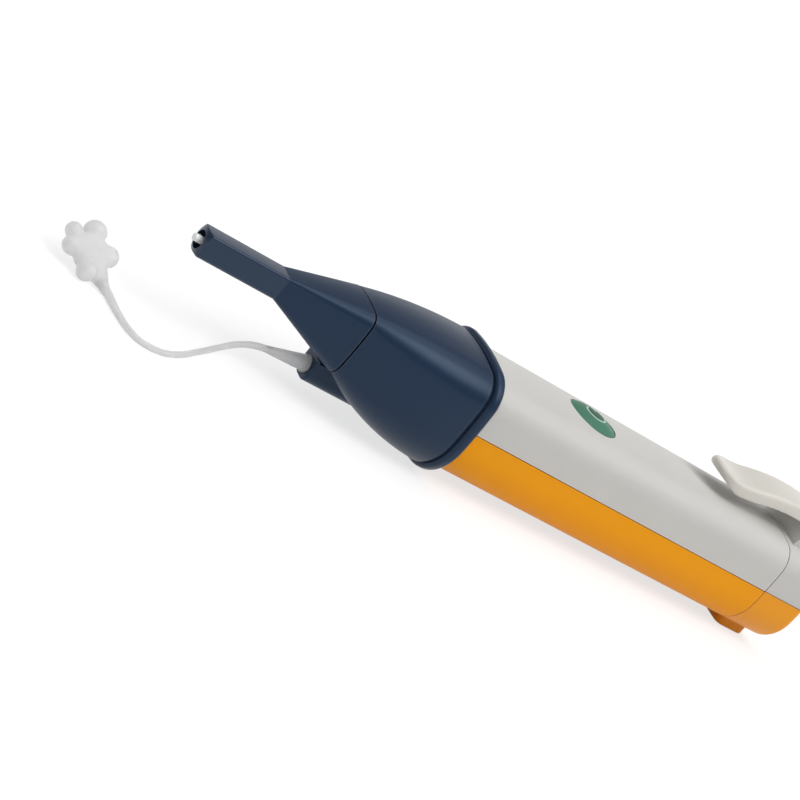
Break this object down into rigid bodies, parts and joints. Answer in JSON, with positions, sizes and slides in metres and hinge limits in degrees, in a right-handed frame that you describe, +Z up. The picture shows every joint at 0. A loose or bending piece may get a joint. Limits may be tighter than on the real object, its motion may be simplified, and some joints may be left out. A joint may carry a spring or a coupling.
{
  "type": "live fiber detector",
  "caption": "Hand-held tester that clips over a fibre end: square snout with a light pickup, push button, pull-off battery end with a pocket clip, and a tethered dust cap.",
  "frame": {"origin": "on the floor, below the middle of the tool's length without its tether", "axes": "+X from the snout to the battery end, +Y across to the tool's own right as seen from behind the battery end, +Z up through the button"},
  "size_m": [0.1922, 0.0303, 0.0334],
  "materials": {
    "navy_shell": "fine moulded texture, satin",
    "white_shell": "fine moulded texture, satin",
    "orange_shell": "fine moulded texture, satin",
    "tail_shell": "white over orange in two shots, satin",
    "cream_clip": "smooth moulded",
    "green_button": "soft satin",
    "white_ceramic": "ground smooth",
    "clear_tether": "milky, clear soft moulding",
    "dark_plastic": "plain moulded",
    "metal_can": "plain drawn",
    "board": "solder mask",
    "spring_contact": "plated strip",
    "capacitor": "fired body",
    "lamp": "clear lens",
    "cell_jacket": "plain printed wrap left bare"
  },
  "bodies": {
    "tool": {"probe_nozzle": "navy_shell", "hood_collar": "navy_shell", "pickup_ferrule": "white_ceramic", "detector_holder": "dark_plastic", "photodiode": "metal_can", "upper_case": "white_shell", "lower_case": "orange_shell", "tact_switch": "dark_plastic", "circuit_board": "board", "board_screws": "metal_can", "microcontroller": "dark_plastic", "buzzer": "dark_plastic", "board_capacitors": "capacitor", "indicator_led": "lamp", "battery_tray": "dark_plastic", "front_contact_positive": "spring_contact", "front_contact_negative": "spring_contact", "battery_near": "cell_jacket", "battery_far": "cell_jacket", "tether_plug": "clear_tether", "tether_strap": "clear_tether", "dust_cap": "clear_tether"},
    "button": {"power_button": "green_button", "switch_plunger": "dark_plastic"},
    "tail": {"tail_cap": "tail_shell", "contact_carrier": "dark_plastic", "bridge_contact": "spring_contact"},
    "clip": {"pocket_clip": "cream_clip"}
  },
  "joints": [
    {"name": "button_press", "type": "slide", "parent": "tool", "child": "button", "axis": [0, 0, -1], "range_m": [0, 0.0008], "stiffness_N_per_m": 1500},
    {"name": "tail_pull", "type": "slide", "parent": "tool", "child": "tail", "axis": [1, 0, 0], "range_m": [0, 0.02]},
    {"name": "clip_lift", "type": "hinge", "parent": "tail", "child": "clip", "pos_m": [0.07975, 0, 0.03062], "axis": [0, 1, 0], "range_deg": [0, 5], "stiffness_Nm_per_rad": 1}
  ]
}
